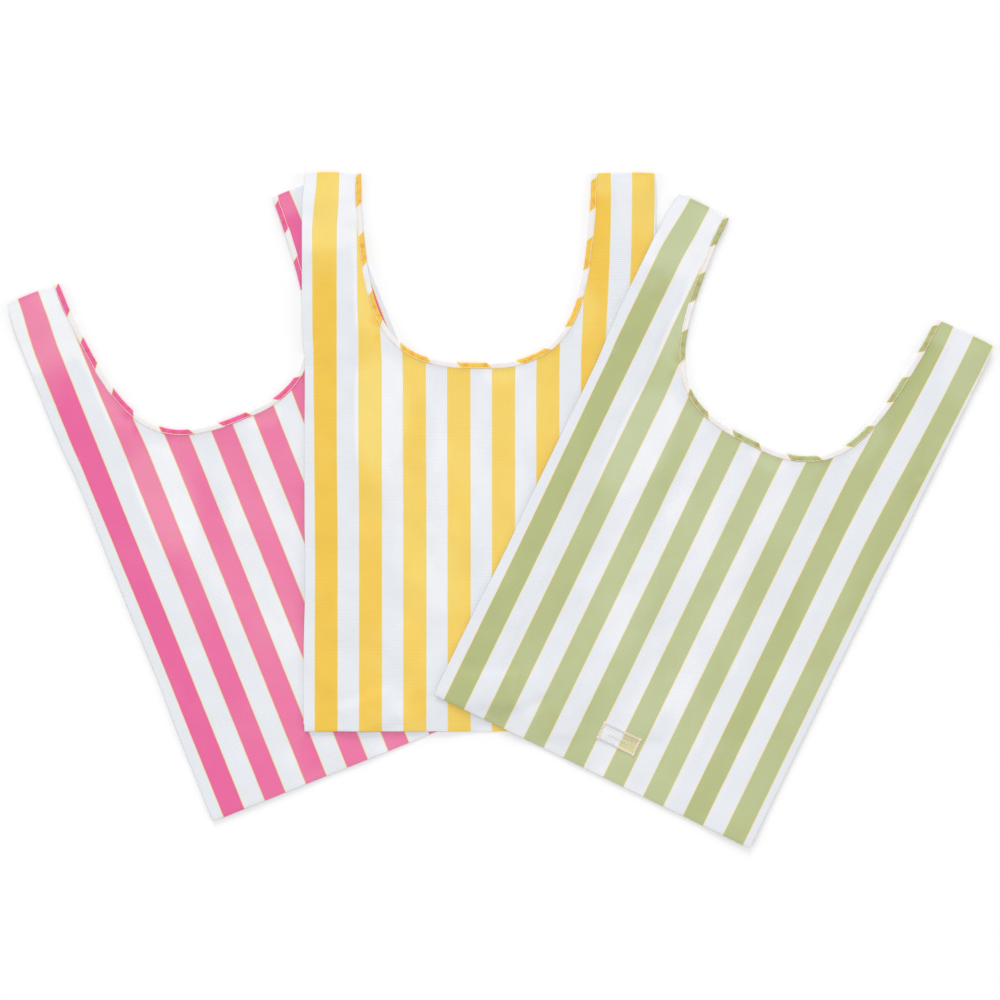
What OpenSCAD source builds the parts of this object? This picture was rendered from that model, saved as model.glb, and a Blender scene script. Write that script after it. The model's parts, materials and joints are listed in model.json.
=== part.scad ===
// Three striped carrier bags of thin woven cloth, lying flat and fanned out over each other.
// Each bag is cut like a vest: two handles with a deep U neckline between them, a folded gusset down
// each side, a bias binding along the neckline and a turned seam along the bottom.
// +X runs along the fan, +Y from the bags' bottoms to their handles, +Z up from the surface they lie on.
// The origin is the middle of the set's footprint, on that surface.

/* [Bag] */
// Width of a bag lying flat
bag_w = 395; // [392:1:420]
// Height of a bag lying flat, with its handles
bag_h = 630; // [610:1:680]
// Thickness of one layer of cloth as it lies
layer = 0.3; // [0.2:0.05:0.5]
// Depth of each side gusset, folded in between front and back
gusset_w = 55; // [35:1:56]
// Height of the turned seam along the bottom
bottom_seam_h = 8; // [5:1:12]

/* [Neckline] */
// Height of the neckline's lowest point above the bottom edge
neck_bottom = 418.5; // [400:0.5:425]
// Height of the curved part of the neckline
neck_curve_h = 184; // [150:1:200]
// Half width of the neckline where its curve ends, without its flare
neck_half_w = 114.5; // [105:0.5:115.5]
// How much further each side of the neckline leans out by the top of the handles
neck_flare = 16; // [10:0.5:17]
// Squareness of the neckline's curve, where 2 is an ellipse
neck_squareness = 3.4; // [2:0.1:4]
// How far the neckline's middle is left of the bag's middle
neck_offset = 3.8; // [0:0.1:5]
// Width of the bias binding along the neckline
binding_w = 6.4; // [5:0.1:8]

/* [Handles] */
// Length of handle above the line where it folds over
handle_l = 112; // [100:1:115]
// Height of the seam across the top of a handle
top_seam_h = 6; // [4:1:10]

/* [Label] */
// Width of the woven label
label_w = 46; // [30:1:60]
// Height of the woven label
label_h = 20; // [12:1:30]
// Distance from the bag's left edge to the label's middle
label_x = 209; // [180:1:220]
// Distance from the bottom edge to the label's middle
label_y = 46.6; // [30:0.1:80]

/* [Fan] */
// Turn of the pink bag, anticlockwise
pink_turn = 21.9; // [18:0.1:26]
// Turn of the green bag, anticlockwise
green_turn = -25.95; // [-30:0.05:-22]
// How far the pink bag's middle is right of the yellow bag's
pink_right = -234; // [-260:1:-220]
// How far the pink bag's middle is above the yellow bag's
pink_up = -50.4; // [-70:0.1:-30]
// How far the green bag's middle is right of the yellow bag's
green_right = 264.4; // [250:0.1:290]
// How far the green bag's middle is above the yellow bag's
green_up = -77; // [-100:1:-50]

/* [Hidden] */
BAGS = ["pink", "yellow", "green"];
SIDES = ["left", "right"];
PANEL_PARTS = [
    "back_panel", "front_panel", "back_neck_binding", "front_neck_binding", "bottom_seam", "label",
];
SIDE_PARTS = ["gusset", "back_strap", "front_strap", "strap_gusset", "strap_binding", "top_seam"];

// The layers of one bag, counted up from its underside
BACK_PANEL_AT = 0;
GUSSET_AT = 1;
FRONT_PANEL_AT = 3;
LABEL_AT = 4;
BODY_LAYERS = 4;
BAG_LAYERS = 5;
GUSSET_LAYERS = 2;
BINDING_LAYERS = 2;

CLOTH_COLOURS = [[0.88, 0.35, 0.6], [0.95, 0.77, 0.36], [0.72, 0.76, 0.54]];
LABEL_COLOUR = [0.95, 0.92, 0.88];

TURNS = [pink_turn, 0, green_turn];
MIDDLES = [[pink_right, pink_up], [0, 0], [green_right, green_up]];

fold_y = bag_h - handle_l;
neck_x = bag_w / 2 - neck_offset;
neck_curve_top = neck_bottom + neck_curve_h;
// Steps along the neckline's curve from one side to the other
neck_steps = 32;
// How far cutting shapes run past what they cut
past = 10;

function bag_index(bag) = search([bag], BAGS)[0];
function turned(p, angle) = [
    p.x * cos(angle) - p.y * sin(angle),
    p.x * sin(angle) + p.y * cos(angle),
];
function signed_power(v, e) = sign(v) * pow(abs(v), e);

// Where the corners of every bag lie, and from them the middle of the set's footprint
corners = [
    for (i = [0:len(BAGS) - 1], sx = [-0.5, 0.5], sy = [-0.5, 0.5])
        MIDDLES[i] + turned([sx * bag_w, sy * bag_h], TURNS[i]),
];
xs = [for (c = corners) c.x];
ys = [for (c = corners) c.y];
footprint_middle = [(min(xs) + max(xs)) / 2, (min(ys) + max(ys)) / 2];

// How far a side of the neckline leans out at a height
function flare_at(y) = neck_flare * (y - neck_bottom) / (bag_h - neck_bottom);

// The neckline's curve, from the right over the lowest point to the left
neck_curve = [
    for (i = [0:neck_steps])
        let (
            angle = 180 * i / neck_steps,
            y = neck_curve_top - neck_curve_h * signed_power(sin(angle), 2 / neck_squareness),
            x = neck_half_w * signed_power(cos(angle), 2 / neck_squareness)
        )
            [neck_x + x + sign(cos(angle)) * flare_at(y), y],
];
neck_past_half_w = neck_half_w + flare_at(bag_h + past);

module place(bag) {
    i = bag_index(bag);
    middle = MIDDLES[i] - footprint_middle;
    translate([middle.x, middle.y, i * BAG_LAYERS * layer])
        rotate([0, 0, TURNS[i]])
            translate([-bag_w / 2, -bag_h / 2, 0])
                children();
}

module cloth(bag) {
    color(CLOTH_COLOURS[bag_index(bag)])
        children();
}

module sheet(at_layer, layers = 1) {
    translate([0, 0, at_layer * layer])
        linear_extrude(layers * layer)
            children();
}

// The opening inside the neckline, widened by grow on every side
module neck_opening(grow = 0) {
    offset(delta = grow)
        polygon(concat(
            [[neck_x + neck_past_half_w, bag_h + past]],
            neck_curve,
            [[neck_x - neck_past_half_w, bag_h + past]]
        ));
}

// The strip of binding along the neckline
module binding_outline() {
    difference() {
        neck_opening(binding_w);
        neck_opening();
    }
}

module span(x0, x1, y0, y1) {
    translate([x0, y0])
        square([x1 - x0, y1 - y0]);
}

// What lies on one side of the neckline's middle
module side_half(side, y0, y1) {
    if (side == "left")
        span(0, neck_x, y0, y1);
    else
        span(neck_x, bag_w, y0, y1);
}

module panel(bag, at_layer) {
    cloth(bag)
        sheet(at_layer)
            difference() {
                span(0, bag_w, bottom_seam_h, fold_y);
                neck_opening(binding_w);
            }
}

module neck_binding(bag, at_layer) {
    cloth(bag)
        sheet(at_layer, BINDING_LAYERS)
            intersection() {
                binding_outline();
                span(0, bag_w, bottom_seam_h, fold_y);
            }
}

module bottom_seam(bag) {
    cloth(bag)
        sheet(BACK_PANEL_AT, BODY_LAYERS)
            span(0, bag_w, 0, bottom_seam_h);
}

module label() {
    color(LABEL_COLOUR)
        sheet(LABEL_AT)
            translate([label_x, label_y])
                square([label_w, label_h], center = true);
}

// Both leaves of a side gusset between two heights, face to face with the fold inwards
module gusset_leaves(bag, side, y0, y1) {
    cloth(bag)
        sheet(GUSSET_AT, GUSSET_LAYERS)
            if (side == "left")
                span(0, gusset_w, y0, y1);
            else
                span(bag_w - gusset_w, bag_w, y0, y1);
}

module gusset(bag, side) {
    gusset_leaves(bag, side, bottom_seam_h, fold_y);
}

module strap_gusset(bag, side) {
    gusset_leaves(bag, side, fold_y, bag_h - top_seam_h);
}

module strap(bag, side, at_layer) {
    cloth(bag)
        sheet(at_layer)
            difference() {
                side_half(side, fold_y, bag_h - top_seam_h);
                neck_opening(binding_w);
            }
}

// The binding up the inner edge of a handle, one strip on the back and one on the front
module strap_binding(bag, side) {
    cloth(bag)
        for (at_layer = [BACK_PANEL_AT, FRONT_PANEL_AT])
            sheet(at_layer, BINDING_LAYERS)
                intersection() {
                    binding_outline();
                    side_half(side, fold_y, bag_h - top_seam_h);
                }
}

module top_seam(bag, side) {
    cloth(bag)
        sheet(BACK_PANEL_AT, BODY_LAYERS)
            difference() {
                side_half(side, bag_h - top_seam_h, bag_h);
                neck_opening();
            }
}

for (bag = BAGS)
    place(bag) {
        panel(bag, BACK_PANEL_AT);
        panel(bag, FRONT_PANEL_AT);
        neck_binding(bag, BACK_PANEL_AT);
        neck_binding(bag, FRONT_PANEL_AT);
        bottom_seam(bag);
        label();
        for (side = SIDES) {
            piece = str(bag, "_", side, "_");
            gusset(bag, side);
            strap(bag, side, BACK_PANEL_AT);
            strap(bag, side, FRONT_PANEL_AT);
            strap_gusset(bag, side);
            strap_binding(bag, side);
            top_seam(bag, side);
        }
    }
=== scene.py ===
"""Three striped carrier bags of thin woven cloth, lying flat and fanned out over each other.

Every bag is made in its own flat coordinates, x from its left edge and y up from its bottom edge,
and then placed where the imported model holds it. Lengths are in metres.
"""

import json
import math

import bpy
import numpy as np
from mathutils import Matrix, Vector
from mathutils.geometry import delaunay_2d_cdt

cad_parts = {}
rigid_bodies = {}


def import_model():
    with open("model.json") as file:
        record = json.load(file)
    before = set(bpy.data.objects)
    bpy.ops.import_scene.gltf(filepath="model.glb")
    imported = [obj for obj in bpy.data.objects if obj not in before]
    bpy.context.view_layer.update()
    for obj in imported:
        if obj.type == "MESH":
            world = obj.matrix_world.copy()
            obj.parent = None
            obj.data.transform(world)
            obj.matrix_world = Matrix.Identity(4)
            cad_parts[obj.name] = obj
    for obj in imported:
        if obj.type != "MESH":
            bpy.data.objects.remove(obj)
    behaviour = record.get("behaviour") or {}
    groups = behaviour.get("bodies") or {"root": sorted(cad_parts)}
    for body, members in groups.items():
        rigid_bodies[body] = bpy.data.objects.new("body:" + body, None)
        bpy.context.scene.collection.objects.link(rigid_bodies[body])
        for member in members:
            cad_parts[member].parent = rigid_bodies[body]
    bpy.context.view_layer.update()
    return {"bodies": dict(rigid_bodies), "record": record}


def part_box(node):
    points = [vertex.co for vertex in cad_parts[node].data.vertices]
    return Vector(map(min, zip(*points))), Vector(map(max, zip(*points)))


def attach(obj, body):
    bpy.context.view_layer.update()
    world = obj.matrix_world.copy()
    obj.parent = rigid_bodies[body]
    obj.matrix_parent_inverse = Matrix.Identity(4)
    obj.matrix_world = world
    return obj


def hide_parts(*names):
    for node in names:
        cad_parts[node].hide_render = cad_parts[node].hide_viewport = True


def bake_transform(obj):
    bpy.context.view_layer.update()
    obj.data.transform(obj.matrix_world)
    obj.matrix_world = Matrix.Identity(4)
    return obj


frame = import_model()

MM = 0.001
BAGS = ["pink", "yellow", "green"]
SIDES = ["left", "right"]


# ---- sizes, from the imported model


def node_box(node):
    """A node's lowest and highest corners."""
    low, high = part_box(node)
    return np.array(low), np.array(high)


seam_low, seam_high = node_box("yellow_bottom_seam")
neck_low, neck_high = node_box("yellow_front_neck_binding")
gusset_low, gusset_high = node_box("yellow_left_gusset")
label_low, label_high = node_box("yellow_label")
panel_high = node_box("yellow_front_panel")[1]
strap_high = node_box("yellow_left_front_strap")[1]
top_high = node_box("yellow_left_top_seam")[1]

BAG_W = seam_high[0] - seam_low[0]
BAG_H = top_high[1] - seam_low[1]
SEAM_H = seam_high[1] - seam_low[1]
FOLD_Y = panel_high[1] - seam_low[1]
STRAP_TOP = strap_high[1] - seam_low[1]
GUSSET_W = gusset_high[0] - gusset_low[0]
NECK_X = (neck_low[0] + neck_high[0]) / 2 - seam_low[0]
LABEL_W, LABEL_H = (label_high - label_low)[:2]
LABEL_X, LABEL_Y = ((label_high + label_low) / 2 - seam_low)[:2]

# The neckline: a superellipse whose sides lean out towards the top
BINDING_W = 6.4 * MM
NECK_LOW = neck_low[1] - seam_low[1] + BINDING_W
NECK_CURVE_H = 184 * MM
NECK_HALF_W = 114.5 * MM
NECK_FLARE = 16 * MM
NECK_SQUARENESS = 3.4

# The cloth: a layer's height as it lies, its own thickness, and how far apart a mesh's points are
PLY = 0.3 * MM
SHEET_T = 0.26 * MM
STEP = 4.5 * MM
# One repeat of the stripes, and where a bag's first coloured stripe starts
STRIPE = 50 * MM
STRIPE_START = 12 * MM
PANEL_EDGE_IN_BINDING = 1.5 * MM
# The length of a handle that bends as it folds over, and the distance between the mesh's rows there
BEND_OVER = 24 * MM
BEND_STEP = 2 * MM


# ---- camera

VIEW_WIDTH = 1.129
VIEW_MIDDLE = (0.0005, 0.0115)
SENSOR_MM = 36.0
LENS_MM = 110.0


def make_camera():
    data = bpy.data.cameras.new("camera")
    data.sensor_width = SENSOR_MM
    data.lens = LENS_MM
    camera = bpy.data.objects.new("camera", data)
    camera.location = (*VIEW_MIDDLE, VIEW_WIDTH * LENS_MM / SENSOR_MM)
    bpy.context.scene.collection.objects.link(camera)
    bpy.context.scene.camera = camera


# ---- smooth shapes in plain numbers


def smooth(t):
    t = np.clip(t, 0, 1)
    return t * t * (3 - 2 * t)


def waves(x, y, seed, length, across=1.0, count=7):
    """Smooth random waves from about -1 to 1, length long and across times that sideways."""
    rng = np.random.default_rng(seed)
    total = np.zeros(np.shape(x))
    for _ in range(count):
        angle = rng.uniform(0, 2 * math.pi)
        size = length * rng.uniform(0.7, 1.6)
        phase = rng.uniform(0, 2 * math.pi)
        total = total + np.sin(
            2 * math.pi * (x * math.cos(angle) / across + y * math.sin(angle)) / size + phase
        )
    return total / math.sqrt(count)


def band(value, middle, half, fade):
    """1 within half of the middle, falling softly to 0 over the fade beyond it."""
    return smooth((half + fade - np.abs(value - middle)) / fade)


def patch(x, y, middle, size, flat=0.5):
    """An oval patch: 1 out to a flat share of its size, then softly down to 0 one size further."""
    return smooth(flat + 1 - np.hypot((x - middle[0]) / size[0], (y - middle[1]) / size[1]))


def signed_power(v, e):
    return np.sign(v) * np.abs(v) ** e


def neck_lean(rise):
    """How far a side of the neckline leans out at a height above its lowest point."""
    return NECK_FLARE * rise / (BAG_H - NECK_LOW)


def neck_path():
    """The neckline's free edge from the left handle's top to the right one's.

    These are its points, the normals that point into the cloth, and the arc length at each point.
    """
    angle = np.linspace(math.pi, 0, 1601)
    rise = NECK_CURVE_H * (1 - signed_power(np.sin(angle), 2 / NECK_SQUARENESS))
    aside = NECK_HALF_W * signed_power(np.cos(angle), 2 / NECK_SQUARENESS)
    curve = np.stack([NECK_X + aside + np.sign(aside) * neck_lean(rise), NECK_LOW + rise], axis=1)
    up = np.linspace(0, 1, 400)[1:, None]
    right_top = np.array([NECK_X + NECK_HALF_W + NECK_FLARE, BAG_H])
    left_top = np.array([NECK_X - NECK_HALF_W - NECK_FLARE, BAG_H])
    points = np.concatenate(
        [
            (curve[0] + up * (left_top - curve[0]))[::-1],
            curve,
            curve[-1] + up * (right_top - curve[-1]),
        ]
    )
    along = np.concatenate([[0], np.cumsum(np.linalg.norm(np.diff(points, axis=0), axis=1))])
    even = np.linspace(0, along[-1], 3001)
    points = np.stack([np.interp(even, along, points[:, k]) for k in range(2)], axis=1)
    tangent = np.gradient(points, axis=0)
    # The bend where the curve meets the straight edge is eased, so that the binding turns softly
    ease = np.ones(61) / 61
    tangent = np.stack(
        [np.convolve(np.pad(tangent[:, k], 30, mode="edge"), ease, mode="valid") for k in range(2)],
        axis=1,
    )
    tangent /= np.linalg.norm(tangent, axis=1)[:, None]
    normal = np.stack([tangent[:, 1], -tangent[:, 0]], axis=1)
    return points, normal, even


NECK_POINTS, NECK_NORMALS, NECK_ALONG = neck_path()
NECK_LENGTH = NECK_ALONG[-1]


def neck_at(s, out=0.0):
    """Points on the neckline at arc length s, moved outwards into the cloth by out."""
    p = np.stack([np.interp(s, NECK_ALONG, NECK_POINTS[:, k]) for k in range(2)], axis=-1)
    n = np.stack([np.interp(s, NECK_ALONG, NECK_NORMALS[:, k]) for k in range(2)], axis=-1)
    n = n / np.linalg.norm(n, axis=-1, keepdims=True)
    return p + n * np.asarray(out)[..., None]


def neck_s_at_height(y, side, out=0.0):
    """The arc length where the neckline, moved outwards by out, crosses height y on one side."""
    heights = neck_at(NECK_ALONG, out)[:, 1]
    half = len(heights) // 2
    if side == "left":
        return float(np.interp(-y, -heights[:half], NECK_ALONG[:half]))
    return float(np.interp(y, heights[half:], NECK_ALONG[half:]))


def neck_run(side_from, y_from, side_to, y_to, out, step=STEP):
    """Evenly spaced points along the neckline, with the ends exactly at the two heights."""
    s0 = neck_s_at_height(y_from, side_from, out)
    s1 = neck_s_at_height(y_to, side_to, out)
    count = max(2, int(abs(s1 - s0) / step) + 1)
    run = neck_at(np.linspace(s0, s1, count), out)
    run[0, 1], run[-1, 1] = y_from, y_to
    return run


# ---- where each bag lies


def inside_distance(x, y):
    """How far a point is inside a bag's outline, negative outside it."""
    rectangle = np.minimum(np.minimum(x, BAG_W - x), np.minimum(y, BAG_H - y))
    rise = y - NECK_LOW
    lean = neck_lean(np.clip(rise, 0, None))
    across = np.clip(np.abs(x - NECK_X) - lean, 0, None) / NECK_HALF_W
    down = np.clip(1 - rise / NECK_CURVE_H, 0, None)
    # The curve grown or shrunk until it meets the point, where a size of 1 is the neckline itself
    size = (across**NECK_SQUARENESS + down**NECK_SQUARENESS) ** (1 / NECK_SQUARENESS) + 1e-9
    slope_across = (across / size) ** (NECK_SQUARENESS - 1) / NECK_HALF_W
    slope_down = (down / size) ** (NECK_SQUARENESS - 1) / NECK_CURVE_H
    neck = (size - 1) / (np.hypot(slope_across, slope_down) + 1e-9)
    return np.minimum(rectangle, neck)


# How far a bag's upper right has slid sideways, and its whole upper part up, as it lies
SLID = {"pink": (-1.6 * MM, -1.5 * MM), "yellow": (0.0, 0.0), "green": (0.0, -0.4 * MM)}


def settled(x, y):
    """How far the cloth has slipped from its cut shape as the bag lies.

    The neckline gapes a little wider, and the left edge and its upper corner are drawn in.
    """
    outer_corner = 1.1 * MM * smooth(1 - x / (40 * MM)) * smooth((y - 585 * MM) / (40 * MM))
    drawn_in = 1.0 * MM * smooth((y - 85 * MM) / (60 * MM)) * smooth((500 * MM - y) / (50 * MM))
    drawn_in = drawn_in + 0.7 * MM * band(y, 180 * MM, 10 * MM, 50 * MM)
    drawn_in = drawn_in + 1.3 * MM * band(y, 402 * MM, 10 * MM, 50 * MM)
    left_edge = drawn_in * smooth(1 - x / (16 * MM))
    u = (x - NECK_X) / NECK_HALF_W
    v = np.clip((NECK_LOW + NECK_CURVE_H - y) / NECK_CURVE_H, 0, None)
    sideways = signed_power(u, NECK_SQUARENESS - 1) / NECK_HALF_W
    downwards = v ** (NECK_SQUARENESS - 1) / NECK_CURVE_H
    size = np.hypot(sideways, downwards) + 1e-9
    on_left = smooth((NECK_X - x) / (60 * MM)) * smooth((y - 425 * MM) / (30 * MM))
    in_middle = band(x, 203 * MM, 15.75 * MM, 45 * MM) * smooth((470 * MM - y) / (40 * MM))
    in_corner = patch(x, y, (300 * MM, 468 * MM), (22 * MM, 22 * MM))
    wider = (1.1 + 0.9 * on_left + 1.8 * in_middle + 0.6 * in_corner) * MM
    wider = wider * smooth(1.1 - inside_distance(x, y) / (35 * MM))
    wider = wider * smooth((y - 340 * MM) / (60 * MM))
    # The corners at the handles' tops stay where they are
    wider = wider * smooth((BAG_H - y) / (35 * MM))
    return outer_corner + left_edge + wider * sideways / size, -wider * downwards / size


class Bag:
    """One bag's place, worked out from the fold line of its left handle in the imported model."""

    def __init__(self, name):
        joints = {j["name"]: j for j in frame["record"]["behaviour"]["joints"]}
        fold = joints[name + "_left_handle_fold"]
        self.name = name
        self.level = BAGS.index(name)
        self.right = np.array(fold["axis"][:2])
        self.up = np.array([-self.right[1], self.right[0]])
        self.corner = np.array(fold["pos_m"][:2]) - FOLD_Y * self.up
        self.body = name + "_bag"
        handles = {side: f"{name}_{side}_handle" for side in SIDES}
        self.handles = {side: h for side, h in handles.items() if h in frame["bodies"]}
        self.front = name + "_front" if name + "_front" in frame["bodies"] else None

    def place(self, x, y):
        """Where points of the cut cloth lie before they settle."""
        return self.corner + np.multiply.outer(x, self.right) + np.multiply.outer(y, self.up)

    def row(self, x, y):
        """Where points of the cut cloth lie."""
        dx, dy = settled(x, y)
        slid_x, slid_y = SLID[self.name]
        dx = dx + slid_x * smooth((x - 300 * MM) / (90 * MM)) * smooth((y - 300 * MM) / (100 * MM))
        dy = dy + slid_y * smooth((y - 250 * MM) / (200 * MM))
        return self.place(x + dx, y + dy)

    def laid(self, x, y, z):
        """The same points in three dimensions."""
        return np.concatenate([self.row(x, y), z[..., None]], axis=-1)

    def local(self, xy):
        """The flat coordinates of points that lie somewhere."""
        d = xy - self.corner
        return d @ self.right, d @ self.up

    def point(self, x, y):
        return (*self.place(x, y), 0.0)


bags = [Bag(name) for name in BAGS]


# ---- how high the cloth lies

# How far outside a bag the cloth over it is down, and how far outside it is still fully up
DRAPE_REACH = 15 * MM
DRAPE_MARGIN = 1 * MM
# How far an edge that lies free rises, and over how much of the cloth
SIDE_RISE = 0.9 * MM
BOTTOM_RISE = 1.1 * MM
CORNER_RISE = -0.3 * MM
TOP_RISE = 1.0 * MM
RISE_REACH = 60 * MM
# The air between front and back
AIR = 0.9 * MM
LABEL_RISE = 1.3 * MM


def gusset_share(x):
    """1 where the gussets lie between front and back, 0 in the middle."""
    soft = 5 * MM
    inside = np.maximum(GUSSET_W - x, x - (BAG_W - GUSSET_W))
    return smooth(inside / soft + 0.5)


def near_label(x, y):
    """1 on a bag's label, falling softly to 0 around it."""
    outside = np.maximum(np.abs(x - LABEL_X) - LABEL_W / 2, np.abs(y - LABEL_Y) - LABEL_H / 2)
    return smooth(1.15 - outside / (14 * MM))


def coverage(bag, xy, reach=DRAPE_REACH):
    """1 where a bag lies, falling softly to 0 over a short reach outside it."""
    d = inside_distance(*bag.local(xy))
    return smooth((d + reach) / (reach - DRAPE_MARGIN))


def under(bag, x, y):
    """The height of what the bag lies on: the surface, or the bags below it."""
    xy = bag.row(x, y)
    height = np.zeros(np.shape(x))
    for lower in bags[: bag.level]:
        lx, ly = lower.local(xy)
        top = front_z(lower, lx, ly) + 2 * PLY + LABEL_RISE * near_label(lx, ly)
        height = height + (top - height) * coverage(lower, xy)
    return height


def edge_lift(bag, x, y):
    """The side and bottom edges and the handles' tops rise a little where no bag lies on them."""
    near_side = smooth(1 - np.minimum(x, BAG_W - x) / RISE_REACH)
    near_bottom = smooth(1 - y / RISE_REACH)
    near_top = smooth(1 - (BAG_H - y) / RISE_REACH)
    rise = SIDE_RISE * near_side + BOTTOM_RISE * near_bottom + TOP_RISE * near_top
    rise = rise + CORNER_RISE * near_side * near_bottom
    rise = rise * (1 + 0.35 * waves(x, y, 3, 160 * MM))
    xy = bag.row(x, y)
    for upper in bags[bag.level + 1 :]:
        rise = rise * (1 - coverage(upper, xy, 40 * MM))
    return rise


def back_z(bag, x, y):
    """The middle of the back panel's cloth."""
    ripple = 0.15 * MM * waves(x, y, 5, 70 * MM)
    return under(bag, x, y) + edge_lift(bag, x, y) + PLY + ripple


def front_z(bag, x, y):
    """The middle of the front panel's cloth, over the gussets and the air between the panels."""
    rim = np.minimum(np.minimum(x, BAG_W - x), np.minimum(y, BAG_H - y))
    loose = smooth(rim / (28 * MM))
    folds = 0.35 * waves(x, y, 11, 95 * MM, across=0.55)
    folds = folds + 0.4 * waves(x, y, 23, 210 * MM, across=0.6)
    puff = AIR * loose * (0.9 + folds)
    fine = 0.1 * MM * loose * waves(x, y, 31, 34 * MM, across=0.7)
    d = inside_distance(x, y)
    at_binding = smooth(1.5 - d / (9 * MM)) * smooth((y - 400 * MM) / (15 * MM))
    pressed = PLY * (1 + 1.8 * np.maximum(gusset_share(x), at_binding))
    near_neck = smooth(1 - d / (22 * MM)) * smooth((y - 380 * MM) / (40 * MM))
    pull = 0.16 * MM * near_neck * waves(x, y, 47, 17 * MM)
    seam_roll = -0.18 * MM * smooth(1 - rim / (3 * MM))
    return back_z(bag, x, y) + pressed + puff + fine + pull + seam_roll


FACES = {"back": back_z, "front": front_z}


# ---- cloth coordinates for the stripes


def cloth_uv(x, y):
    """Where a point lies on the striped cloth. The stripes lean a little in the handles."""
    right = 8 * MM * smooth((y - 340 * MM) / (260 * MM))
    rim = 7.2 * MM * np.clip((y - 330 * MM) / (300 * MM), 0, 1)
    right = right + (rim - right) * smooth((x - 362 * MM) / (25 * MM))
    left = -1 * MM * smooth((y - 220 * MM) / (130 * MM))
    left = left + 2.8 * MM * smooth((y - 560 * MM) / (50 * MM))
    left = left * (0.5 + 0.5 * smooth((70 * MM - x) / (30 * MM)))
    lean = right * smooth((x - 290 * MM) / (58 * MM)) + left * smooth((220 * MM - x) / (50 * MM))
    return np.stack([x - lean, y], axis=-1)


# How far along the binding's free edge one period of the stripes reaches
BIAS_PERIOD = 67 * MM


def bias_uv(s, t):
    """The same cloth cut askew: s along the strip, t in from its free edge."""
    slope = STRIPE / BIAS_PERIOD
    across = math.sqrt(1 - slope**2)
    return np.stack([STRIPE_START + s * slope - t * across, s * across + t * slope], axis=-1)


# ---- meshes


def new_piece(name, verts, faces, material, uv=None, plies=None, sharp=()):
    mesh = bpy.data.meshes.new(name)
    mesh.from_pydata([tuple(v) for v in verts], [], [tuple(int(i) for i in f) for f in faces])
    mesh.materials.append(material)
    mesh.shade_smooth()
    if uv is not None:
        layer = mesh.uv_layers.new(name="cloth")
        loops = np.zeros(len(mesh.loops), int)
        mesh.loops.foreach_get("vertex_index", loops)
        layer.data.foreach_set("uv", np.asarray(uv, float)[loops].astype(np.float32).ravel())
    attribute = mesh.attributes.new("plies", "FLOAT", "POINT")
    values = np.zeros(len(verts)) if plies is None else np.asarray(plies)
    attribute.data.foreach_set("value", values.astype(np.float32))
    if len(sharp):
        wanted = {tuple(sorted((int(a), int(b)))) for a, b in sharp}
        flags = [tuple(sorted(e.vertices)) in wanted for e in mesh.edges]
        mesh.attributes.new("sharp_edge", "BOOLEAN", "EDGE").data.foreach_set("value", flags)
    mesh.validate()
    piece = bpy.data.objects.new(name, mesh)
    bpy.context.scene.collection.objects.link(piece)
    return piece


def inside_polygon(points, outline):
    x, y = points[:, 0], points[:, 1]
    inside = np.zeros(len(points), bool)
    previous = np.roll(outline, 1, axis=0)
    for (ax, ay), (bx, by) in zip(outline, previous, strict=True):
        crosses = (ay > y) != (by > y)
        with np.errstate(divide="ignore", invalid="ignore"):
            at = (bx - ax) * (y - ay) / (by - ay) + ax
        inside ^= crosses & (x < at)
    return inside


def edge_distance(points, outline):
    """Distance from each point to the nearest of an outline's closely spaced points."""
    nearest = np.full(len(points), np.inf)
    for p in outline:
        nearest = np.minimum(nearest, np.hypot(points[:, 0] - p[0], points[:, 1] - p[1]))
    return nearest


def straight(a, b, step=STEP):
    count = max(2, int(math.dist(a, b) / step) + 1)
    return np.linspace(a, b, count)


def closed_outline(*runs):
    """Runs joined end to end, without the point that each shares with the next."""
    return np.concatenate([run[:-1] for run in runs])


def cut_cloth(outline):
    """A flat triangle mesh of a cut of cloth: its points and its faces."""
    low, high = outline.min(axis=0), outline.max(axis=0)
    rows = np.arange(low[1] + STEP * 0.5, high[1], STEP * 0.866)
    grid = [
        (x, y)
        for j, y in enumerate(rows)
        for x in np.arange(low[0] + STEP * (0.5 if j % 2 else 1.0), high[0], STEP)
    ]
    grid = np.array(grid)
    grid = grid[inside_polygon(grid, outline)]
    grid = grid[edge_distance(grid, outline) > 0.62 * STEP]
    points = np.concatenate([outline, grid])
    ring = list(range(len(outline)))
    made = delaunay_2d_cdt([Vector(p) for p in points], [], [ring], 1, 1e-7)
    return np.array([tuple(v) for v in made[0]]), np.array(made[2])


def boundary_edges(faces):
    count = {}
    for f in faces:
        for a, b in zip(f, np.roll(f, -1), strict=True):
            key = (int(min(a, b)), int(max(a, b)))
            count.setdefault(key, []).append((int(a), int(b)))
    return [v[0] for v in count.values() if len(v) == 1]


def panel_piece(name, cut, bag, height, material, plies):
    """A cut of cloth laid at a height, with the thickness of the cloth and a closed rim."""
    flat, faces = cut
    x, y = flat[:, 0], flat[:, 1]
    z = height(bag, x, y)
    top = bag.laid(x, y, z + SHEET_T / 2)
    bottom = bag.laid(x, y, z - SHEET_T / 2)
    n = len(flat)
    area = np.cross(flat[faces[:, 1]] - flat[faces[:, 0]], flat[faces[:, 2]] - flat[faces[:, 0]])
    faces = np.where((area < 0)[:, None], faces[:, ::-1], faces)
    rim = boundary_edges(faces)
    all_faces = [*faces, *(faces[:, ::-1] + n), *[(b, a, a + n, b + n) for a, b in rim]]
    sharp = [*rim, *[(a + n, b + n) for a, b in rim]]
    uv = np.tile(cloth_uv(x, y), (2, 1))
    verts = np.concatenate([top, bottom])
    piece = new_piece(name, verts, all_faces, material, uv, np.tile(plies(x, y), 2), sharp)
    return piece


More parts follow.
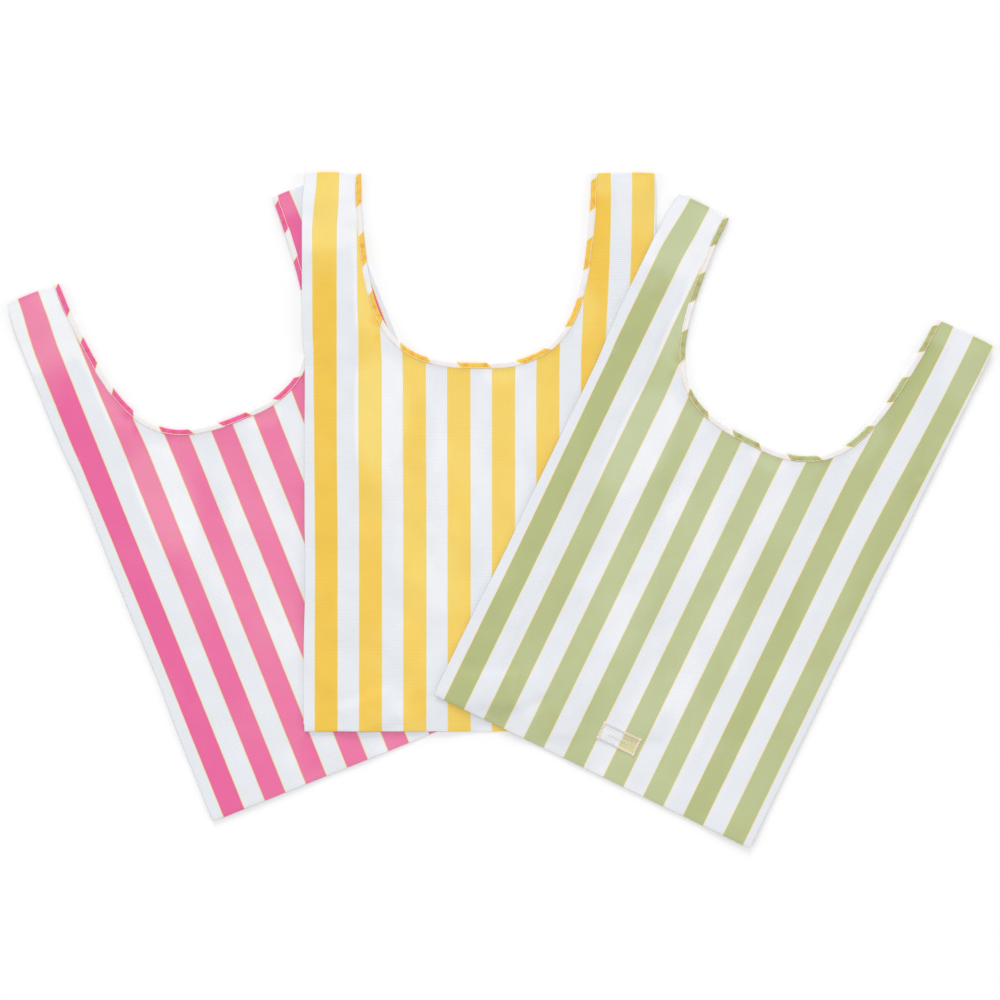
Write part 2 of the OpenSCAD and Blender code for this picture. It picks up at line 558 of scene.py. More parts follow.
def grid_piece(name, points, uv, plies, material, thickness=SHEET_T, held="folded"):
    """A sheet from a grid of points along and across it, with a thickness and a closed rim."""
    along, across = points.shape[:2]
    du = np.gradient(points, axis=0)
    dv = np.gradient(points, axis=1)
    normal = np.cross(du, dv)
    normal /= np.linalg.norm(normal, axis=2, keepdims=True) + 1e-12
    top = (points + normal * thickness / 2).reshape(-1, 3)
    bottom = (points - normal * thickness / 2).reshape(-1, 3)
    n = along * across
    i = np.arange(n).reshape(along, across)
    quads = np.stack([i[:-1, :-1], i[1:, :-1], i[1:, 1:], i[:-1, 1:]], axis=-1).reshape(-1, 4)
    rim = boundary_edges(quads)
    faces = [*quads, *(quads[:, ::-1] + n), *[(b, a, a + n, b + n) for a, b in rim]]
    sharp = [*rim, *[(a + n, b + n) for a, b in rim]]
    values = np.broadcast_to(plies, (along, across)).ravel()
    verts = np.concatenate([top, bottom])
    both_uv = np.tile(uv.reshape(-1, 2), (2, 1))
    piece = new_piece(name, verts, faces, material, both_uv, np.tile(values, 2), sharp)
    return piece


def thread_piece(name, starts, ends, radius, material):
    """Short rounded stitches from each start to each end."""
    # Share of the stitch's length, and share of its radius there
    profile = [(0.0, 0.5), (0.12, 0.9), (0.5, 1.0), (0.88, 0.9), (1.0, 0.5)]
    sides = 6
    axis = ends - starts
    length = np.linalg.norm(axis, axis=1, keepdims=True)
    axis = axis / length
    side = np.cross(axis, [0, 0, 1.0])
    side /= np.linalg.norm(side, axis=1, keepdims=True)
    lift = np.cross(side, axis)
    rings = []
    for t, r in profile:
        centre = starts + axis * length * t
        centre = centre + lift * radius * 0.6 * math.sin(math.pi * t)
        for k in range(sides):
            a = 2 * math.pi * k / sides
            rings.append(centre + radius * r * (math.cos(a) * side + math.sin(a) * lift))
    verts = np.stack(rings, axis=1)
    count, per = verts.shape[:2]
    faces = []
    for j in range(len(profile) - 1):
        for k in range(sides):
            a, b = j * sides + k, j * sides + (k + 1) % sides
            faces.append((a, b, b + sides, a + sides))
    caps = [tuple(reversed(range(sides))), tuple(range(per - sides, per))]
    everything = [tuple(i + m * per for i in f) for m in range(count) for f in [*faces, *caps]]
    return new_piece(name, verts.reshape(-1, 3), everything, material)


# ---- materials


def srgb(r, g, b):
    """A colour given as it looks, from 0 to 255, in the linear values that shaders take."""
    c = np.array([r, g, b]) / 255
    return (*np.where(c <= 0.04045, c / 12.92, ((c + 0.055) / 1.055) ** 2.4), 1.0)


# What the floor and a white cloth reflect
ALBEDO = 0.925


def tinted(r, g, b):
    """The reflectance that looks like this colour under the scene's light."""
    c = srgb(r, g, b)
    return (*[v * ALBEDO for v in c[:3]], 1.0)


class Nodes:
    """Short calls for building a material's nodes."""

    def __init__(self, name):
        self.material = bpy.data.materials.new(name)
        self.material.use_nodes = True
        self.tree = self.material.node_tree
        self.tree.nodes.clear()

    def add(self, kind, **settings):
        node = self.tree.nodes.new(kind)
        for key, value in settings.items():
            setattr(node, key, value)
        return node

    def feed(self, socket, value):
        if isinstance(value, bpy.types.NodeSocket):
            self.tree.links.new(value, socket)
        else:
            socket.default_value = value

    def maths(self, operation, a, b=0.0, c=None, clamp=False):
        node = self.add("ShaderNodeMath", operation=operation, use_clamp=clamp)
        self.feed(node.inputs[0], a)
        self.feed(node.inputs[1], b)
        if c is not None:
            self.feed(node.inputs[2], c)
        return node.outputs[0]

    def plus(self, a, b):
        return self.maths("ADD", a, b)

    def minus(self, a, b):
        return self.maths("SUBTRACT", a, b)

    def times(self, a, b):
        return self.maths("MULTIPLY", a, b)

    def sine(self, along, period):
        return self.maths("SINE", self.times(along, 2 * math.pi / period))

    def ramp(self, value, low, high, to_low=0.0, to_high=1.0):
        node = self.add("ShaderNodeMapRange", interpolation_type="SMOOTHSTEP")
        for socket, v in zip(node.inputs, (value, low, high, to_low, to_high), strict=False):
            self.feed(socket, v)
        return node.outputs[0]

    def mix(self, share, a, b):
        node = self.add("ShaderNodeMix", data_type="RGBA")
        self.feed(node.inputs[0], share)
        self.feed(node.inputs[6], a)
        self.feed(node.inputs[7], b)
        return node.outputs[2]

    def noise(self, vector, scale, detail=2.0, roughness=0.5):
        node = self.add("ShaderNodeTexNoise")
        self.feed(node.inputs["Vector"], vector)
        self.feed(node.inputs["Scale"], scale)
        self.feed(node.inputs["Detail"], detail)
        self.feed(node.inputs["Roughness"], roughness)
        return node.outputs["Fac"]

    def cloth_coordinates(self):
        """The coordinates on the cloth: both together, across it and along it."""
        uv = self.add("ShaderNodeUVMap", uv_map="cloth").outputs[0]
        split = self.add("ShaderNodeSeparateXYZ")
        self.feed(split.inputs[0], uv)
        return uv, split.outputs[0], split.outputs[1]

    def shaded(self, colour, value):
        node = self.add("ShaderNodeHueSaturation")
        self.feed(node.inputs["Value"], value)
        self.feed(node.inputs["Color"], colour)
        return node.outputs[0]

    def stretched(self, vector, x, y):
        node = self.add("ShaderNodeMapping")
        self.feed(node.inputs["Vector"], vector)
        self.feed(node.inputs["Scale"], (x, y, 1.0))
        return node.outputs[0]

    def finish(self, colour, roughness, height=None, distance=0.0001, strength=1.0, sheen=0.04):
        shader = self.add("ShaderNodeBsdfPrincipled")
        self.feed(shader.inputs["Base Color"], colour)
        self.feed(shader.inputs["Roughness"], roughness)
        self.feed(shader.inputs["Specular IOR Level"], 0.22)
        self.feed(shader.inputs["Sheen Weight"], sheen)
        self.feed(shader.inputs["Sheen Roughness"], 0.5)
        if height is not None:
            bump = self.add("ShaderNodeBump")
            self.feed(bump.inputs["Height"], height)
            self.feed(bump.inputs["Distance"], distance)
            self.feed(bump.inputs["Strength"], strength)
            self.feed(shader.inputs["Normal"], bump.outputs[0])
        out = self.add("ShaderNodeOutputMaterial")
        self.feed(out.inputs["Surface"], shader.outputs[0])
        return self.material


# The repeats of the woven ribs and threads
RIB = 2.5 * MM
THREAD = 0.85 * MM
# A coloured stripe and the thin line at its edges, as shares of a repeat from its middle
STRIPE_HALF = 0.25
LINE_AT = 0.2555
LINE_HALF = 0.0095
PRINT_SOFT = 0.0035


def stripe_masks(n, u):
    """How much of a point is coloured stripe, and how much is the line at a stripe's edges."""
    phase = n.maths("FRACT", n.maths("DIVIDE", n.minus(u, STRIPE_START), STRIPE))
    from_middle = n.maths("ABSOLUTE", n.minus(phase, STRIPE_HALF))
    wrapped = n.maths("MINIMUM", from_middle, n.minus(1.0, from_middle))
    coloured = n.ramp(wrapped, STRIPE_HALF - PRINT_SOFT, STRIPE_HALF + PRINT_SOFT, 1.0, 0.0)
    from_line = n.maths("ABSOLUTE", n.minus(wrapped, LINE_AT))
    line = n.ramp(from_line, LINE_HALF - PRINT_SOFT, LINE_HALF + PRINT_SOFT, 1.0, 0.0)
    return coloured, line


def weave(n, uv, u, v):
    """The height of the woven surface: ribs across the cloth, threads along it, both uneven."""
    uneven = n.noise(n.stretched(uv, 60.0, 260.0), 1.0, 2.0)
    shift = n.times(n.minus(uneven, 0.5), 0.0016)
    crosswise = n.sine(n.plus(v, shift), RIB)
    lengthwise = n.sine(n.plus(u, shift), RIB)
    # The ribs turn to run lengthwise near the handles' tops, and in the middle further down
    from_middle = n.maths("ABSOLUTE", n.minus(u, float(NECK_X)))
    sooner = n.plus(n.ramp(from_middle, 0.075, 0.115, 0.2, 0.0), n.ramp(u, 0.29, 0.3, 0.0, -0.04))
    turned = n.ramp(n.plus(n.plus(v, sooner), n.times(uneven, 0.05)), 0.56, 0.6)
    rib = n.add("ShaderNodeMix", data_type="FLOAT")
    for socket, value in ((0, turned), (2, crosswise), (3, lengthwise)):
        n.feed(rib.inputs[socket], value)
    rib = rib.outputs[0]
    thread = n.sine(u, THREAD)
    pick = n.sine(v, THREAD)
    crossing = n.times(thread, pick)
    strength = n.ramp(n.noise(uv, 9.0, 2.0), 0.35, 0.65, 0.45, 1.0)
    ribs = n.times(rib, strength)
    return n.plus(n.times(ribs, 0.7), n.times(crossing, 0.25))


def striped_cloth(name, dense, thin, line_colour):
    """Thin striped woven cloth. It looks denser where more plies lie over each other."""
    n = Nodes(name)
    uv, u, v = n.cloth_coordinates()
    # The cloth's plies, carrying also the painted shade of puckers, creases and the handles' top
    # folds
    plies = n.add("ShaderNodeAttribute", attribute_name="plies").outputs["Fac"]
    wander = n.times(n.minus(n.noise(uv, 90.0, 2.0), 0.5), 0.0005)
    coloured, line = stripe_masks(n, n.plus(u, wander))

    cloud = n.noise(n.stretched(uv, 14.0, 9.0), 1.0, 3.0, 0.55)
    cloudy = n.ramp(cloud, 0.3, 0.7)
    uneven = n.times(n.minus(0.5, cloudy), 0.34)
    share = n.maths("ADD", plies, uneven, clamp=True)
    stripe = n.mix(share, tinted(*thin), tinted(*dense))
    ground = n.mix(n.ramp(share, 0.1, 0.62), tinted(243, 244, 248), tinted(231.8, 234.8, 240.3))
    doubled = n.ramp(plies, 1.75, 1.95)
    ground = n.mix(doubled, ground, tinted(240, 237, 238))
    gathered = n.ramp(n.noise(uv, 130.0, 2.0), 0.45, 0.7)
    deep = tuple(c * f for c, f in zip(dense, (0.97, 0.86, 0.78), strict=True))
    stripe = n.mix(n.times(doubled, gathered), stripe, tinted(*deep))
    colour = n.mix(coloured, ground, stripe)
    line_strength = n.times(line, 0.85)
    colour = n.mix(line_strength, colour, tinted(*line_colour))

    height = weave(n, uv, u, v)
    shade = n.ramp(height, -0.8, 0.8, n.maths("MULTIPLY_ADD", doubled, 0.03, 0.955), 1.02)
    grain = n.ramp(n.noise(uv, 900.0, 2.0), 0.25, 0.75, 0.985, 1.015)
    colour = n.shaded(colour, n.times(shade, grain))
    roughness = n.ramp(n.noise(uv, 30.0, 3.0), 0.3, 0.7, 0.46, 0.6)
    return n.finish(colour, roughness, height, distance=0.00009, strength=0.6)


def thread_material(name, colour):
    n = Nodes(name)
    where = n.add("ShaderNodeNewGeometry").outputs["Position"]
    fuzz = n.noise(where, 2600.0, 2.0)
    colour = n.shaded(tinted(*colour), n.ramp(fuzz, 0.3, 0.7, 0.93, 1.05))
    return n.finish(colour, 0.5, fuzz, distance=0.00008, strength=0.5, sheen=0.3)


def label_material():
    """A sheer woven ribbon, through which the stripes behind it show."""
    n = Nodes("label_ribbon")
    _, u, v = n.cloth_coordinates()
    coloured, line = stripe_masks(n, u)
    colour = n.mix(coloured, tinted(239, 239, 241), tinted(213, 208, 160))
    colour = n.mix(n.times(line, 0.6), colour, tinted(240, 216, 190))
    warp = n.sine(u, 0.5 * MM)
    weft = n.sine(v, 0.7 * MM)
    height = n.plus(n.times(warp, 0.5), weft)
    # Painted shade and light from the weave: the ribbon is darker where its bump is low and lighter
    # on its ridges
    colour = n.shaded(colour, n.ramp(height, -1.2, 1.2, 0.97, 1.02))
    return n.finish(colour, 0.32, height, distance=0.00006, strength=0.5)


def floor_material():
    return Nodes("floor_paper").finish((ALBEDO, ALBEDO, ALBEDO, 1.0), 0.9, sheen=0.0)


# The colours of each bag's stripes, where they are dense and thin, and of the line at their edges
STRIPE_COLOURS = {
    "pink": ((235, 104, 160), (241, 141, 174), (240, 217, 122)),
    "yellow": ((243, 199, 78), (249, 220, 119), (240, 217, 120)),
    "green": ((182.5, 189, 132), (198, 206.5, 164), (250, 222, 158)),
}
CLOTH = {b: striped_cloth(b + "_striped_cloth", *STRIPE_COLOURS[b]) for b in BAGS}
PALE_THREAD = thread_material("pale_thread", (253, 233, 208))
PEACH_THREAD = thread_material("peach_thread", (255, 237, 222))
GREY_THREAD = thread_material("grey_thread", (233, 229, 233))
WHITE_THREAD = thread_material("white_thread", (248, 248, 250))
LABEL = label_material()


# ---- the cuts of cloth, shared by all bags


def main_outline(x0, x1):
    """The panel from bottom seam to fold line and from x0 to x1. One of these may be NECK_X."""
    out = PANEL_EDGE_IN_BINDING
    left = neck_at(neck_s_at_height(FOLD_Y, "left", out), out)
    right = neck_at(neck_s_at_height(FOLD_Y, "right", out), out)
    run = neck_run("left", FOLD_Y, "right", FOLD_Y, out)
    bottom = int(np.argmin(run[:, 1]))
    run[bottom, 0] = NECK_X
    left_x, right_x = left[0], right[0]
    runs = [straight((x0, SEAM_H), (x1, SEAM_H))]
    if x1 == BAG_W:
        runs.append(straight((BAG_W, SEAM_H), (BAG_W, FOLD_Y)))
        runs.append(straight((BAG_W, FOLD_Y), (right_x, FOLD_Y)))
        run_right = run[bottom:][::-1]
    else:
        runs.append(straight((NECK_X, SEAM_H), (NECK_X, run[bottom, 1])))
        run_right = run[bottom : bottom + 1]
    if x0 == 0:
        run_left = run[: bottom + 1][::-1]
        ends = [straight((left_x, FOLD_Y), (0, FOLD_Y)), straight((0, FOLD_Y), (0, SEAM_H))]
    else:
        run_left = run[bottom : bottom + 1]
        ends = [straight((NECK_X, run[bottom, 1]), (NECK_X, SEAM_H))]
    neck = np.concatenate([run_right, run_left[1:]])
    neck[0] = (right_x, FOLD_Y) if x1 == BAG_W else neck[0]
    neck[-1] = (left_x, FOLD_Y) if x0 == 0 else neck[-1]
    return closed_outline(*runs, neck, *ends)


# Patches where the cloth looks denser, or thinner, two of them painted shade of soft creases near
# the label: middle and size in mm, and by how much
DENSER_AND_SHADED_PATCHES = [
    ((130, 330), (18, 35), 0.25),
    ((170, 330), (30, 70), -0.2),
    # Painted shade of soft creases near the label, in this patch and the next
    ((249, 50), (12, 40), 0.6),
    ((128, 28), (15, 18), 0.3),
    ((222, 408), (20, 15), -0.35),
]


def density_and_shade(x, y):
    """How dense the cloth looks: most over the gussets, least high up in the middle, with painted
    shade of puckers near the neckline and of soft creases near the label.
    """
    mm_x, mm_y = x / MM, y / MM
    low_down = smooth((170 - mm_y) / 60) * (0.09 - 0.2 * smooth((mm_x - 190) / 25))
    middle = 0.42 + low_down + 0.12 * smooth((mm_x - 235) / 40)
    middle = middle + 0.25 * smooth((310 - mm_y) / 50) * smooth((110 - mm_x) / 30)
    middle = middle - 0.48 * smooth((mm_y - 530) / 30) * smooth((NECK_X / MM - mm_x) / 40)
    middle = middle - 0.3 * smooth((mm_y - 445) / 25) * band(mm_x, 66, 6, 12)
    middle = middle - 0.45 * patch(mm_x, mm_y, (80, 362), (18, 30), flat=1.5)
    for patch_middle, size, denser in DENSER_AND_SHADED_PATCHES:
        middle = middle + denser * patch(mm_x, mm_y, patch_middle, size)
    left = smooth((60 - mm_x) / 10) * (1 - 0.92 * smooth((mm_y - 485) / 78))
    right = smooth((mm_x - 290) / 14) * (1 - 0.85 * smooth((mm_y - 598) / 14))
    full = 0.82 - 0.12 * smooth((mm_x - 340) / 20)
    full = full + np.where(mm_x < 350, 0.25, -0.2) * smooth((mm_y - 540) / 30)
    full = full - 0.5 * patch(mm_x, mm_y, (308, 476), (20, 32))
    full = np.where(mm_x < NECK_X / MM, 1.0, full)
    # Painted shade of puckers below the binding: darker blotches near the neckline
    near_neck = smooth(1.2 - inside_distance(x, y) / (24 * MM)) * smooth((mm_y - 410) / 30)
    near_neck = near_neck * smooth((500 - mm_y) / 60)
    pucker_shade = 0.42 * near_neck * (0.8 + 0.7 * waves(x, y, 47, 14 * MM))
    return middle + (full - middle) * np.maximum(left, right) + pucker_shade


def strap_rows():
    """Heights of the rows across a handle, close together where it bends over."""
    bend = np.arange(FOLD_Y, FOLD_Y + BEND_OVER + 2 * BEND_STEP, BEND_STEP)
    count = int((STRAP_TOP - bend[-1]) / STEP) + 2
    return np.concatenate([bend, np.linspace(bend[-1], STRAP_TOP, count)[1:]])


def strap_grid(bag, side, height):
    """The striped cloth of one face of a handle, from its outer edge to just inside the binding."""
    rows = strap_rows()
    out = PANEL_EDGE_IN_BINDING
    inner = np.array([neck_at(neck_s_at_height(y, side, out), out)[0] for y in rows])
    outer = 0.0 if side == "left" else BAG_W
    columns = np.linspace(0, 1, max(2, int(abs(inner[0] - outer) / STEP) + 1))
    x = outer + np.multiply.outer(inner - outer, columns)
    y = np.broadcast_to(rows[:, None], x.shape)
    if side == "left":
        x, y = x[::-1], y[::-1]
    return bag.laid(x, y, height(bag, x, y)), cloth_uv(x, y), density_and_shade(x, y)


CUTS = {
    "main": cut_cloth(main_outline(0, BAG_W)),
    "left_half": cut_cloth(main_outline(0, NECK_X)),
    "right_half": cut_cloth(main_outline(NECK_X, BAG_W)),
}


# ---- how pieces are fixed in place


# Distances from the side and from the label's middle, at which points on each half of the front are
# worked out
MOUTH_FROM_EDGE = 80 * MM
MOUTH_FLAT_HALF = 45 * MM


def on_bag(piece, bag):
    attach(piece, bag.body)
    return piece


def on_handle(piece, bag, side):
    """A handle's piece: where the handle is a body of its own, its place is baked into its points;
    where a bag pins it down, it is fixed to the bag.
    """
    if side in bag.handles:
        start, end = bag.point(0, FOLD_Y), bag.point(0, FOLD_Y + BEND_OVER)
        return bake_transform(piece)
    return on_bag(piece, bag)


def on_mouth(piece, bag, side):
    """Half of the front, with its place baked into its points."""
    if side == "left":
        start, end = bag.point(MOUTH_FROM_EDGE, 0), bag.point(LABEL_X - MOUTH_FLAT_HALF, 0)
    else:
        start, end = bag.point(BAG_W - MOUTH_FROM_EDGE, 0), bag.point(LABEL_X + MOUTH_FLAT_HALF, 0)
    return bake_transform(piece)


def stands_for(piece, bag, part):
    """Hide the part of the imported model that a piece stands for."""
    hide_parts(f"{bag.name}_{part}")
    return piece


# ---- the parts of a bag


def make_panels(bag):
    cloth = CLOTH[bag.name]
    back = panel_piece(bag.name + "_back_cloth", CUTS["main"], bag, back_z, cloth, density_and_shade)
    on_bag(stands_for(back, bag, "back_panel"), bag)
    if bag.front:
        for side in SIDES:
            name = f"{bag.name}_front_cloth_{side}"
            half = panel_piece(name, CUTS[side + "_half"], bag, front_z, cloth, density_and_shade)
            on_mouth(stands_for(half, bag, "front_panel"), bag, side)
    else:
        front = panel_piece(bag.name + "_front_cloth", CUTS["main"], bag, front_z, cloth, density_and_shade)
        on_bag(stands_for(front, bag, "front_panel"), bag)
    for side in SIDES:
        for face, height in FACES.items():
            name = f"{bag.name}_{side}_strap_{face}_cloth"
            strap = grid_piece(name, *strap_grid(bag, side, height), cloth, held="laid")
            on_handle(stands_for(strap, bag, f"{side}_{face}_strap"), bag, side)


# How far a gusset's edges stand out past the panels, and the points across each of its leaves
GUSSET_PEEK = {"left": 0.9 * MM, "right": 0.6 * MM}
LEAF_POINTS = 15


def gusset_grid(bag, side, rows):
    """Both leaves of a gusset: in from the back's edge, round the fold, and out to the front's."""
    peek = GUSSET_PEEK[side]
    leaf = np.linspace(-peek, GUSSET_W, LEAF_POINTS)
    in_out = np.concatenate([leaf, leaf[::-1][1:]])
    depth = np.repeat([1.0, 1.5, 2.0], [LEAF_POINTS - 1, 1, LEAF_POINTS - 1])
    y, inward = np.meshgrid(rows, in_out, indexing="ij")
    x = inward if side == "left" else BAG_W - inward
    low = back_z(bag, x, y)
    high = np.maximum(front_z(bag, x, y), low + 2.6 * PLY)
    share = np.broadcast_to(depth, x.shape) / 3
    z = low + (high - low) * share
    # The free edges at the side close up to the panels they are sewn to
    rim = smooth(1 - (inward + peek) / (2 * MM))
    z = z + rim * (share - 0.5) * 0.6 * PLY
    return bag.laid(x, y, z), cloth_uv(x, y)


def make_gussets(bag):
    cloth = CLOTH[bag.name]
    for side in SIDES:
        points, uv = gusset_grid(bag, side, np.linspace(SEAM_H, FOLD_Y, 57))
        piece = grid_piece(f"{bag.name}_{side}_gusset_cloth", points, uv, 1.0, cloth)
        on_bag(stands_for(piece, bag, side + "_gusset"), bag)
        points, uv = gusset_grid(bag, side, strap_rows())
        piece = grid_piece(f"{bag.name}_{side}_strap_gusset_cloth", points, uv, 1.0, cloth)
        on_handle(stands_for(piece, bag, side + "_strap_gusset"), bag, side)


# The binding's section: distance in from the free edge as a share of its width, and height in plies
BIAS_SECTION = [
    (1.0, 0.2),
    (0.93, 0.75),
    (0.78, 1.15),
    (0.55, 1.35),
    (0.3, 1.3),
    (0.12, 1.15),
    (0.03, 0.7),
    (0.0, 0.0),
    (0.03, -0.6),
    (0.15, -0.95),
    (0.5, -1.0),
    (0.95, -0.95),
]
# The line of stitches, as a share of the width, and how far the strip stops short at a handle's top
STITCHES_AT = 0.84
BIAS_END = 0.6 * MM
# The doubled binding looks denser in its stripes and whiter between them than any panel
BIAS_TONE = 2.0


def bias_grid(bag, s0, s1, face):
    """A stretch of binding between two arc lengths of the neckline."""
    rows = np.linspace(s0, s1, max(3, int(abs(s1 - s0) / (2.2 * MM)) + 1))
    section = np.array(BIAS_SECTION)
    s, inward = np.meshgrid(rows, section[:, 0] * BINDING_W, indexing="ij")
    rise = np.broadcast_to(section[:, 1] * PLY, s.shape)
    xy = neck_at(s, inward)
    x, y = xy[..., 0], xy[..., 1]
    base = FACES[face](bag, x, np.minimum(y, BAG_H))
    pucker = waves(s, inward * 0.4, 71, 13 * MM, count=5) * smooth(inward / BINDING_W) * (rise > 0)
    stitched = smooth(1 - np.abs(inward / BINDING_W - STITCHES_AT) / 0.14) * (rise > 0)
    z = base + rise + 0.13 * MM * pucker - 0.1 * MM * stitched
    along = np.where(rise >= 0, inward, -inward)
    return bag.laid(x, y, z), bias_uv(s, along)


def bias_stitches(bag, name, s0, s1, face, material):
    """The line of stitches along the binding's sewn edge."""
    pitch, length = 2.7 * MM, 2.65 * MM
    start = np.arange(min(s0, s1) + 0.4 * MM, max(s0, s1) - length, pitch)
    ends = []
    for s in (start, start + length):
        xy = neck_at(s, np.full(len(s), BINDING_W * STITCHES_AT))
        z = FACES[face](bag, xy[:, 0], xy[:, 1]) + (1.25 * PLY if face == "front" else -1.25 * PLY)
        ends.append(bag.laid(xy[:, 0], xy[:, 1], z))
    return thread_piece(name, ends[0], ends[1], 0.33 * MM, material)


def make_bindings(bag):
    cloth = CLOTH[bag.name]
    s_left = neck_s_at_height(FOLD_Y, "left")
    s_right = neck_s_at_height(FOLD_Y, "right")
    s_low = NECK_LENGTH / 2
    for face in FACES:
        if face == "front" and bag.front:
            spans = [("_left", s_left, s_low, "left"), ("_right", s_low, s_right, "right")]
        else:
            spans = [("", s_left, s_right, None)]
        for ending, s0, s1, half in spans:
            points, uv = bias_grid(bag, s0, s1, face)
            piece = grid_piece(f"{bag.name}_{face}_neck_bias{ending}", points, uv, BIAS_TONE, cloth)
            stands_for(piece, bag, face + "_neck_binding")
            name = f"{bag.name}_{face}_neck_stitches{ending}"
            stitches = bias_stitches(bag, name, s0, s1, face, PALE_THREAD)
            for thing in (piece, stitches):
                on_mouth(thing, bag, half) if half else on_bag(thing, bag)
        for side in SIDES:
            s_fold = s_left if side == "left" else s_right
            s_end = BIAS_END if side == "left" else NECK_LENGTH - BIAS_END
            points, uv = bias_grid(bag, s_fold, s_end, face)
            if side == "left":
                points, uv = points[::-1], uv[::-1]
            piece = grid_piece(f"{bag.name}_{side}_strap_{face}_bias", points, uv, BIAS_TONE, cloth)
            stands_for(piece, bag, side + "_strap_binding")
            name = f"{bag.name}_{side}_strap_{face}_stitches"
            stitches = bias_stitches(bag, name, s_fold, s_end, face, PALE_THREAD)
            on_handle(piece, bag, side)
            on_handle(stitches, bag, side)


def wrapped_edge(bag, x0, x1, y_in, y_out, arch=0.0):
    """Cloth from y_in on the front, round an edge at y_out, and in to y_in on the back."""
    count = max(5, int((x1 - x0) / STEP) + 1)
    columns = np.linspace(x0, x1, count)
    reach = np.array([0.0, 0.3, 0.6, 0.82, 0.94, 0.985, 1.0])
    t = np.concatenate([reach, reach[::-1][1:]])
    face = np.concatenate([np.ones(6), [0.5], np.zeros(6)])
    x, share = np.meshgrid(columns, t, indexing="ij")
    bow = arch * (1 - ((x - (x0 + x1) / 2) / ((x1 - x0) / 2)) ** 2)
    y = y_in + (y_out + bow - y_in) * share
    top, bottom = front_z(bag, x, np.clip(y, 0, BAG_H)), back_z(bag, x, np.clip(y, 0, BAG_H))
    middle = (top + bottom) / 2
    round_off = np.sqrt(np.clip(1 - share**6, 0, 1))
    side = np.where(face > 0.5, 1.0, np.where(face < 0.5, -1.0, 0.0))
    z = middle + side * (top - bottom) / 2 * np.where(share < 1, round_off, 0)
    z = np.where(share == 0, np.where(side > 0, top, bottom), z)
    return bag.laid(x, y, z), cloth_uv(x, y)


# How far the middle of a handle's top bows up
TOP_ARCH = {"left": 1.1 * MM, "right": 0.8 * MM}


def make_seams(bag):
    cloth = CLOTH[bag.name]
    points, uv = wrapped_edge(bag, 0, BAG_W, SEAM_H, 0)
    plies = density_and_shade(uv[..., 0], uv[..., 1])
    piece = grid_piece(bag.name + "_bottom_seam_cloth", points, uv, plies, cloth)
    on_bag(stands_for(piece, bag, "bottom_seam"), bag)
    for side in SIDES:
        inner = neck_at(neck_s_at_height(STRAP_TOP, side, BINDING_W), BINDING_W)[0]
        x0, x1 = (0, inner) if side == "left" else (inner, BAG_W)
        points, uv = wrapped_edge(bag, x0, x1, STRAP_TOP, BAG_H - 0.5 * MM, arch=TOP_ARCH[side])
        # Towards the fold at the handle's top the cloth looks denser, partly from the cloth doubled
        # over there and partly painted shade of the fold's crease
        folded = smooth((uv[..., 1] - STRAP_TOP) / (BAG_H - STRAP_TOP))
        plies_and_fold_shade = density_and_shade(uv[..., 0], uv[..., 1]) + 0.5 * folded
        piece = grid_piece(f"{bag.name}_{side}_top_seam_cloth", points, uv, plies_and_fold_shade, cloth)
        on_handle(stands_for(piece, bag, side + "_top_seam"), bag, side)


def label_height(bag, x, y):
    return front_z(bag, x, y) + PLY


def border_threads():
    """Satin stitches across the label's edge, all the way round: starts and ends."""
    pitch, reach, slant = 1.75 * MM, 1.5 * MM, 0.4 * MM
    half = np.array([LABEL_W, LABEL_H]) / 2
    middle = np.array([LABEL_X, LABEL_Y])
    starts, ends = [], []
    for across, sign in ((0, -1), (0, 1), (1, -1), (1, 1)):
        length = 2 * half[1 - across]
        steps = np.linspace(-length / 2, length / 2, int(length / pitch) + 1)
        for distance, bucket in ((-reach, starts), (reach, ends)):
            p = np.zeros((len(steps), 2))
            p[:, across] = sign * (half[across] - 0.9 * MM) + distance
            p[:, 1 - across] = steps + math.copysign(slant, distance)
            bucket.append(p + middle)
    starts, ends = np.concatenate(starts), np.concatenate(ends)
    # Over the white stripe the border is white, elsewhere it has the peach of the stripes' edges
    x = starts[:, 0]
    on_white = (x > LABEL_X - LABEL_W / 2 + 3 * MM) & (x < STRIPE_START + 4 * STRIPE)
    return (starts[on_white], ends[on_white]), (starts[~on_white], ends[~on_white])


def motif_threads():
    """A plain woven motif: one zigzag line of stitches across the label."""
    turns = 14
    x = np.linspace(-14 * MM, 14 * MM, turns + 1)
    y = np.where(np.arange(turns + 1) % 2, 1.8 * MM, -1.8 * MM)
    corners = np.stack([x, y], axis=1) + (LABEL_X, LABEL_Y)
    return corners[:-1], corners[1:]


def on_label(bag, flat):
    """Flat points laid on a bag's label, in three dimensions."""
    x, y = flat[:, 0], flat[:, 1]
    return bag.laid(x, y, label_height(bag, x, y) + 0.2 * MM)


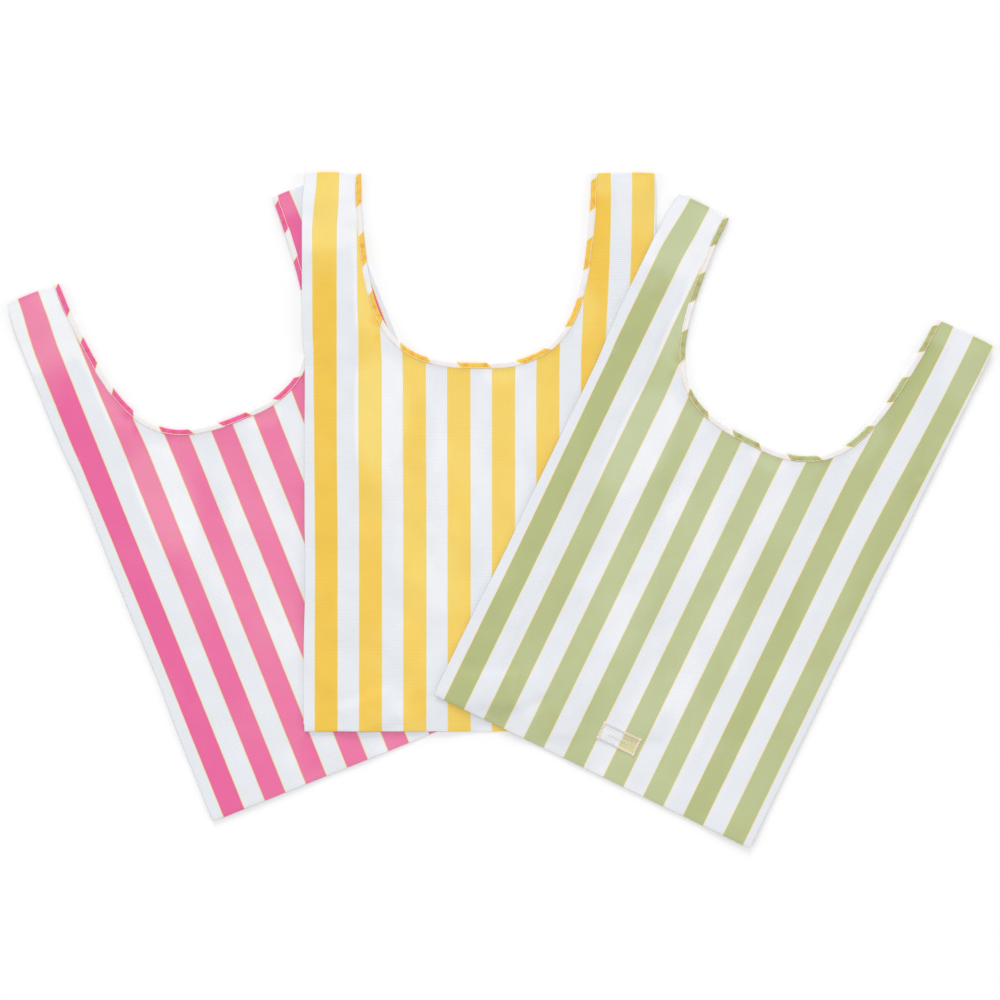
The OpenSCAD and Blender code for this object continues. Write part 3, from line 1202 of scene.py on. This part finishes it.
def make_label(bag):
    columns = np.linspace(LABEL_X - LABEL_W / 2, LABEL_X + LABEL_W / 2, 27)
    rows = np.linspace(LABEL_Y - LABEL_H / 2, LABEL_Y + LABEL_H / 2, 13)
    x, y = np.meshgrid(columns, rows, indexing="ij")
    points = bag.laid(x, y, label_height(bag, x, y))
    label = grid_piece(bag.name + "_woven_label", points, cloth_uv(x, y), 0.0, LABEL, held="laid")
    stands_for(label, bag, "label")
    pieces = [label]
    white_border, peach_border = border_threads()
    for kind, (starts, ends), radius, thread in (
        ("white_border", white_border, 0.55 * MM, GREY_THREAD),
        ("peach_border", peach_border, 0.55 * MM, PEACH_THREAD),
        ("motif", motif_threads(), 0.3 * MM, WHITE_THREAD),
    ):
        name = f"{bag.name}_label_{kind}"
        stitches = thread_piece(name, on_label(bag, starts), on_label(bag, ends), radius, thread)
        pieces.append(stitches)
    for piece in pieces:
        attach(piece, bag.front or bag.body)


# ---- floor and light


FLOOR_HALF = 30.0
FLOOR_Z = -0.3 * MM


def make_floor():
    mesh = bpy.data.meshes.new("floor")
    square = ((-1, -1), (1, -1), (1, 1), (-1, 1))
    corners = [(x * FLOOR_HALF, y * FLOOR_HALF, FLOOR_Z) for x, y in square]
    mesh.from_pydata(corners, [], [(0, 1, 2, 3)])
    mesh.materials.append(floor_material())
    floor = bpy.data.objects.new("floor", mesh)
    bpy.context.scene.collection.objects.link(floor)


def sun(name, azimuth, elevation, softness, share):
    """A broad light from a direction in degrees, which gives the floor this share of its light."""
    data = bpy.data.lights.new(name, "SUN")
    data.angle = math.radians(softness)
    data.energy = share * math.pi / math.sin(math.radians(elevation))
    light = bpy.data.objects.new(name, data)
    light.rotation_euler = (math.radians(90 - elevation), 0, math.radians(180 - azimuth))
    bpy.context.scene.collection.objects.link(light)


def make_light():
    """Mostly even light, a little more from behind the handles: shadows fall below the bags."""
    sun("behind", -6, 17, 20, 0.17)
    sun("left", -90, 18, 20, 0.06)
    sun("right", 90, 18, 20, 0.055)
    sun("overhead", 0, 89, 70, 0.3)
    world = bpy.data.worlds.new("studio")
    world.use_nodes = True
    background = world.node_tree.nodes["Background"]
    background.inputs[0].default_value = (1.0, 1.0, 1.0, 1.0)
    background.inputs[1].default_value = 0.5
    bpy.context.scene.world = world
    bpy.context.scene.view_settings.view_transform = "Standard"


make_camera()
for bag in bags:
    make_panels(bag)
    make_gussets(bag)
    make_bindings(bag)
    make_seams(bag)
    make_label(bag)
make_floor()
make_light()
